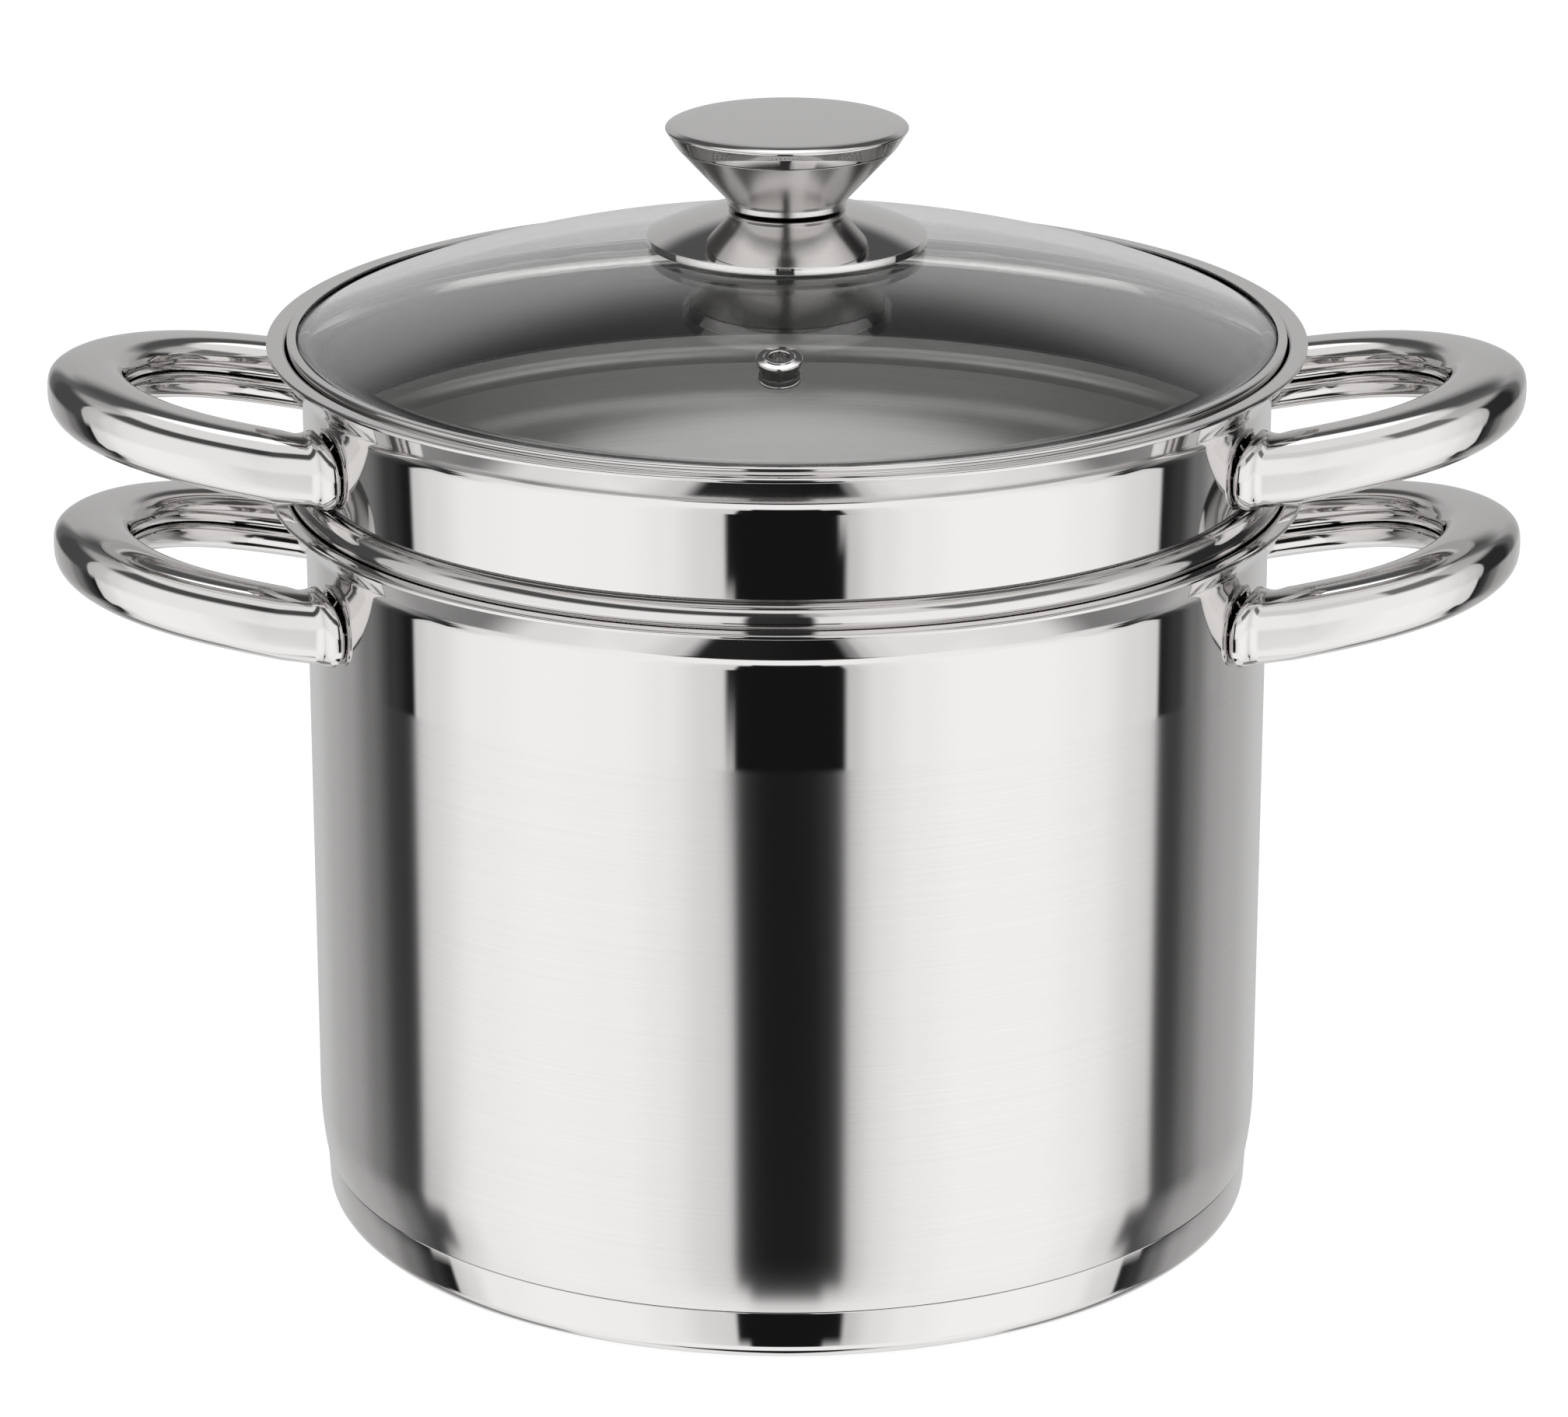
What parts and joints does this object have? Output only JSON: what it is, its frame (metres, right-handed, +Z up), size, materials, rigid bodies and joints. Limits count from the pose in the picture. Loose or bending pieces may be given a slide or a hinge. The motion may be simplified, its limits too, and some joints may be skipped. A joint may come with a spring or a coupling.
{
  "type": "pasta pot",
  "caption": "Stainless steel pasta pot with a lift-out strainer insert standing in its rim, hollow loop handles and a domed glass lid with a knob.",
  "frame": {"origin": "centre of the foot, on the surface that the pot stands on", "axes": "+Z up along the pot's axis, X through the loop handles, -Y to the side with the lid's steam vent"},
  "size_m": [0.3388, 0.2374, 0.2568],
  "materials": {
    "brushed_steel": "brushed round the axis",
    "polished_steel": "mirror polished stainless steel",
    "aluminium_core": "bare",
    "lid_glass": "clear tempered, faintly green",
    "silicone": "matt"
  },
  "bodies": {
    "pot": {"pot_shell": "brushed_steel", "base_core": "aluminium_core", "base_capsule": "polished_steel", "pot_handle_left": "polished_steel", "pot_handle_right": "polished_steel"},
    "insert": {"insert_wall": "polished_steel", "strainer_basket": "brushed_steel", "insert_handle_left": "polished_steel", "insert_handle_right": "polished_steel"},
    "lid": {"lid_glass": "lid_glass", "lid_band": "polished_steel", "lid_edge_gasket": "silicone", "vent_eyelet": "polished_steel", "vent_grommet": "silicone", "knob_base_plate": "polished_steel", "knob_body": "polished_steel", "knob_boss": "polished_steel", "knob_cap": "brushed_steel", "knob_seal_upper": "silicone", "knob_seal_lower": "silicone", "knob_washer": "polished_steel", "knob_screw": "polished_steel"}
  },
  "joints": [
    {"name": "insert_lift", "type": "slide", "parent": "pot", "child": "insert", "axis": [0, 0, 1], "range_m": [0, 0.16]},
    {"name": "lid_lift", "type": "slide", "parent": "insert", "child": "lid", "axis": [0, 0, 1], "range_m": [0, 0.08]}
  ]
}
